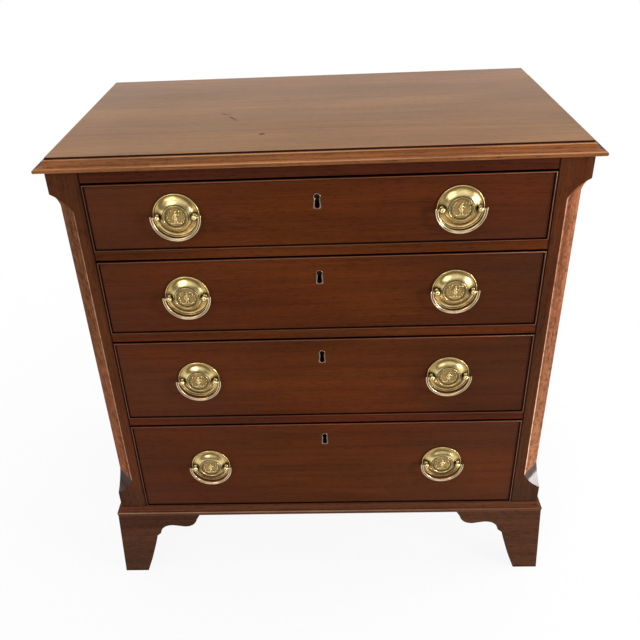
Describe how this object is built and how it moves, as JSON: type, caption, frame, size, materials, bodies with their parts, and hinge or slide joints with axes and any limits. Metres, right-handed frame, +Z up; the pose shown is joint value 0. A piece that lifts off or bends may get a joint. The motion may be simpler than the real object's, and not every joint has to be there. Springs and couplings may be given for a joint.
{
  "type": "bachelor's chest of drawers",
  "caption": "Low chest of graduated long drawers with canted corners, a moulded top, splayed bracket feet and round brass plates carrying drop bails.",
  "frame": {"origin": "on the floor at the middle of the chest's bounding box", "axes": "+Z up, drawers open towards -Y, +X to the right of someone facing the drawers"},
  "size_m": [0.7924, 0.4312, 0.8395],
  "materials": {
    "mahogany": "old red-brown mahogany, waxed, with a soft sheen and dark streaks along the grain",
    "mahogany_top": "faded and polished mahogany with long straight grain, lighter than the front",
    "mahogany_bead": "thin rounded bead rubbed lighter than the drawer front",
    "oak": "dry oak of drawer sides and bottoms, unpolished",
    "pine": "rough old pine boards, darkened",
    "brass": "antique yellow brass, rubbed bright on the high places and brown in the hollows",
    "steel": "dull old iron-grey steel"
  },
  "bodies": {
    "carcass": {"top_board": "mahogany_top", "corner_post_left": "mahogany", "corner_post_right": "mahogany", "side_panel_left": "mahogany", "side_panel_right": "mahogany", "top_rail": "mahogany", "divider_1": "mahogany", "divider_2": "mahogany", "divider_3": "mahogany", "bottom_board": "pine", "back_panel": "pine", "base_moulding": "mahogany", "bracket_foot_front_left": "mahogany", "bracket_foot_front_right": "mahogany", "bracket_foot_rear_left": "mahogany", "bracket_foot_rear_right": "mahogany"},
    "drawer_1": {"drawer_1_front": "mahogany", "drawer_1_cock_bead": "mahogany_bead", "drawer_1_box": "oak", "drawer_1_bottom": "oak", "drawer_1_escutcheon": "brass", "drawer_1_lock": "brass", "drawer_1_handle_left_plate": "brass", "drawer_1_handle_right_plate": "brass"},
    "drawer_1_lock_bolt": {"drawer_1_lock_bolt": "steel"},
    "drawer_1_handle_left_bail": {"drawer_1_handle_left_bail": "brass"},
    "drawer_1_handle_right_bail": {"drawer_1_handle_right_bail": "brass"},
    "drawer_2": {"drawer_2_front": "mahogany", "drawer_2_cock_bead": "mahogany_bead", "drawer_2_box": "oak", "drawer_2_bottom": "oak", "drawer_2_escutcheon": "brass", "drawer_2_lock": "brass", "drawer_2_handle_left_plate": "brass", "drawer_2_handle_right_plate": "brass"},
    "drawer_2_lock_bolt": {"drawer_2_lock_bolt": "steel"},
    "drawer_2_handle_left_bail": {"drawer_2_handle_left_bail": "brass"},
    "drawer_2_handle_right_bail": {"drawer_2_handle_right_bail": "brass"},
    "drawer_3": {"drawer_3_front": "mahogany", "drawer_3_cock_bead": "mahogany_bead", "drawer_3_box": "oak", "drawer_3_bottom": "oak", "drawer_3_escutcheon": "brass", "drawer_3_lock": "brass", "drawer_3_handle_left_plate": "brass", "drawer_3_handle_right_plate": "brass"},
    "drawer_3_lock_bolt": {"drawer_3_lock_bolt": "steel"},
    "drawer_3_handle_left_bail": {"drawer_3_handle_left_bail": "brass"},
    "drawer_3_handle_right_bail": {"drawer_3_handle_right_bail": "brass"},
    "drawer_4": {"drawer_4_front": "mahogany", "drawer_4_cock_bead": "mahogany_bead", "drawer_4_box": "oak", "drawer_4_bottom": "oak", "drawer_4_escutcheon": "brass", "drawer_4_lock": "brass", "drawer_4_handle_left_plate": "brass", "drawer_4_handle_right_plate": "brass"},
    "drawer_4_lock_bolt": {"drawer_4_lock_bolt": "steel"},
    "drawer_4_handle_left_bail": {"drawer_4_handle_left_bail": "brass"},
    "drawer_4_handle_right_bail": {"drawer_4_handle_right_bail": "brass"}
  },
  "joints": [
    {"name": "drawer_1_slide", "type": "slide", "parent": "carcass", "child": "drawer_1", "axis": [0, -1, 0], "range_m": [0, 0.32]},
    {"name": "drawer_1_lock_bolt_slide", "type": "slide", "parent": "drawer_1", "child": "drawer_1_lock_bolt", "axis": [0, 0, 1], "range_m": [0, 0.008]},
    {"name": "drawer_1_handle_left_bail_hinge", "type": "hinge", "parent": "drawer_1", "child": "drawer_1_handle_left_bail", "pos_m": [-0.2037, -0.2099, 0.7479], "axis": [-1, 0, 0], "range_deg": [-8, 188]},
    {"name": "drawer_1_handle_right_bail_hinge", "type": "hinge", "parent": "drawer_1", "child": "drawer_1_handle_right_bail", "pos_m": [0.2037, -0.2099, 0.7479], "axis": [-1, 0, 0], "range_deg": [-8, 188]},
    {"name": "drawer_2_slide", "type": "slide", "parent": "carcass", "child": "drawer_2", "axis": [0, -1, 0], "range_m": [0, 0.32]},
    {"name": "drawer_2_lock_bolt_slide", "type": "slide", "parent": "drawer_2", "child": "drawer_2_lock_bolt", "axis": [0, 0, 1], "range_m": [0, 0.008]},
    {"name": "drawer_2_handle_left_bail_hinge", "type": "hinge", "parent": "drawer_2", "child": "drawer_2_handle_left_bail", "pos_m": [-0.2037, -0.2099, 0.61274], "axis": [-1, 0, 0], "range_deg": [-8, 188]},
    {"name": "drawer_2_handle_right_bail_hinge", "type": "hinge", "parent": "drawer_2", "child": "drawer_2_handle_right_bail", "pos_m": [0.2037, -0.2099, 0.61274], "axis": [-1, 0, 0], "range_deg": [-8, 188]},
    {"name": "drawer_3_slide", "type": "slide", "parent": "carcass", "child": "drawer_3", "axis": [0, -1, 0], "range_m": [0, 0.32]},
    {"name": "drawer_3_lock_bolt_slide", "type": "slide", "parent": "drawer_3", "child": "drawer_3_lock_bolt", "axis": [0, 0, 1], "range_m": [0, 0.008]},
    {"name": "drawer_3_handle_left_bail_hinge", "type": "hinge", "parent": "drawer_3", "child": "drawer_3_handle_left_bail", "pos_m": [-0.2037, -0.2099, 0.45265], "axis": [-1, 0, 0], "range_deg": [-8, 188]},
    {"name": "drawer_3_handle_right_bail_hinge", "type": "hinge", "parent": "drawer_3", "child": "drawer_3_handle_right_bail", "pos_m": [0.2037, -0.2099, 0.45265], "axis": [-1, 0, 0], "range_deg": [-8, 188]},
    {"name": "drawer_4_slide", "type": "slide", "parent": "carcass", "child": "drawer_4", "axis": [0, -1, 0], "range_m": [0, 0.32]},
    {"name": "drawer_4_lock_bolt_slide", "type": "slide", "parent": "drawer_4", "child": "drawer_4_lock_bolt", "axis": [0, 0, 1], "range_m": [0, 0.008]},
    {"name": "drawer_4_handle_left_bail_hinge", "type": "hinge", "parent": "drawer_4", "child": "drawer_4_handle_left_bail", "pos_m": [-0.2037, -0.2099, 0.26167], "axis": [-1, 0, 0], "range_deg": [-8, 188]},
    {"name": "drawer_4_handle_right_bail_hinge", "type": "hinge", "parent": "drawer_4", "child": "drawer_4_handle_right_bail", "pos_m": [0.2037, -0.2099, 0.26167], "axis": [-1, 0, 0], "range_deg": [-8, 188]}
  ]
}
